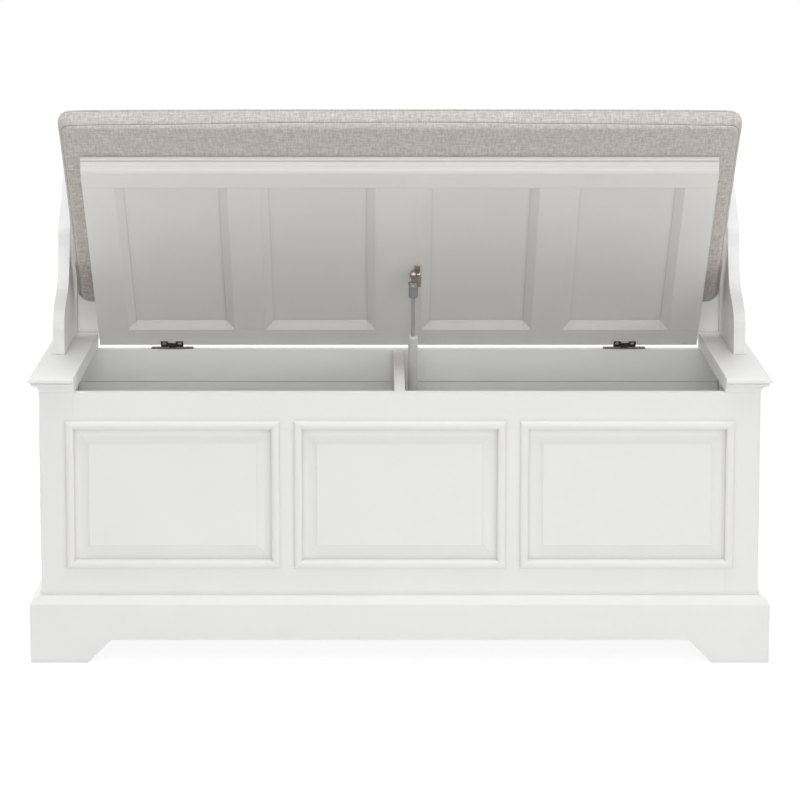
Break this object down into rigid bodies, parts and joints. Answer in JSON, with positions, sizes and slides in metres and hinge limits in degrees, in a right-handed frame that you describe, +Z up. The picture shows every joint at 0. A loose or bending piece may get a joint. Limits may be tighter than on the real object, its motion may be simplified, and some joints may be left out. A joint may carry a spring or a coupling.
{
  "type": "shoe storage bench",
  "caption": "Panelled storage bench on bracket feet with a hinged cushioned lid on a gas strut, curved side wings and a low framed backrest.",
  "frame": {"origin": "middle of the bench's bounding box, on the floor", "axes": "+X to the right as seen from the front, +Y to the back, +Z up"},
  "size_m": [1.102, 0.5164, 0.8123],
  "materials": {
    "white_paint": "satin white paint",
    "bronze": "dark bronze plating",
    "strut_tube": "satin grey paint",
    "strut_rod": "ground steel",
    "strut_socket": "moulded grey plastic",
    "strut_fitting": "plated steel",
    "linen": "slubbed linen weave"
  },
  "bodies": {
    "box": {"backrest_frame": "white_paint", "backrest_panel": "white_paint", "bottom_board": "white_paint", "bottom_front_batten": "white_paint", "bottom_rear_batten": "white_paint", "cap_left": "white_paint", "cap_right": "white_paint", "divider": "white_paint", "front_bottom_rail": "white_paint", "front_left_muntin": "white_paint", "front_left_panel": "white_paint", "front_left_panel_moulding": "white_paint", "front_left_stile": "white_paint", "front_middle_panel": "white_paint", "front_middle_panel_moulding": "white_paint", "front_right_muntin": "white_paint", "front_right_panel": "white_paint", "front_right_panel_moulding": "white_paint", "front_right_stile": "white_paint", "front_top_rail": "white_paint", "hinge_left_fixed_leaf": "bronze", "hinge_right_fixed_leaf": "bronze", "left_side_frame": "white_paint", "left_side_panel": "white_paint", "left_side_panel_moulding": "white_paint", "plinth_front_board": "white_paint", "plinth_left_board": "white_paint", "plinth_rear_board": "white_paint", "plinth_right_board": "white_paint", "rear_panel": "white_paint", "rear_top_rail": "white_paint", "right_side_frame": "white_paint", "right_side_panel": "white_paint", "right_side_panel_moulding": "white_paint", "strut_lower_bracket": "strut_fitting", "wing_left": "white_paint", "wing_right": "white_paint"},
    "lid": {"lid_front_rail": "white_paint", "lid_left_mullion": "white_paint", "lid_left_stile": "white_paint", "lid_middle_mullion": "white_paint", "lid_panel_1": "white_paint", "lid_panel_2": "white_paint", "lid_panel_3": "white_paint", "lid_panel_4": "white_paint", "lid_rear_rail": "white_paint", "lid_right_mullion": "white_paint", "lid_right_stile": "white_paint", "hinge_left_moving_leaf": "bronze", "hinge_right_moving_leaf": "bronze", "hinge_left_pin": "bronze", "hinge_right_pin": "bronze", "strut_upper_bracket": "strut_fitting"},
    "strut_cylinder": {"strut_tube": "strut_tube", "strut_lower_socket": "strut_socket"},
    "strut_piston": {"strut_rod": "strut_rod", "strut_upper_socket": "strut_socket", "strut_upper_ball_stud": "strut_fitting"},
    "cushion": {"seat_cushion": "linen"}
  },
  "joints": [
    {"name": "lid_hinge", "type": "hinge", "parent": "box", "child": "lid", "pos_m": [0, 0.22825, 0.4085], "axis": [1, 0, 0], "range_deg": [0, 41.66]},
    {"name": "cushion_slide", "type": "slide", "parent": "lid", "child": "cushion", "axis": [0, 0.7471, -0.6647], "range_m": [0, 0.1]},
    {"name": "strut_swing", "type": "hinge", "parent": "box", "child": "strut_cylinder", "pos_m": [0.0224, 0.18825, 0.316], "axis": [1, 0, 0], "range_deg": [0, 36.3]},
    {"name": "strut_stroke", "type": "slide", "parent": "strut_cylinder", "child": "strut_piston", "axis": [0, 0.5117, -0.8592], "range_m": [0, 0.0684]}
  ],
  "couplings": [
    {"joint": "cushion_slide", "follows": "lid_hinge", "m_per_rad": 0.13753},
    {"joint": "strut_swing", "follows": "lid_hinge", "ratio": 0.87113},
    {"joint": "strut_stroke", "follows": "lid_hinge", "m_per_rad": 0.094013}
  ]
}
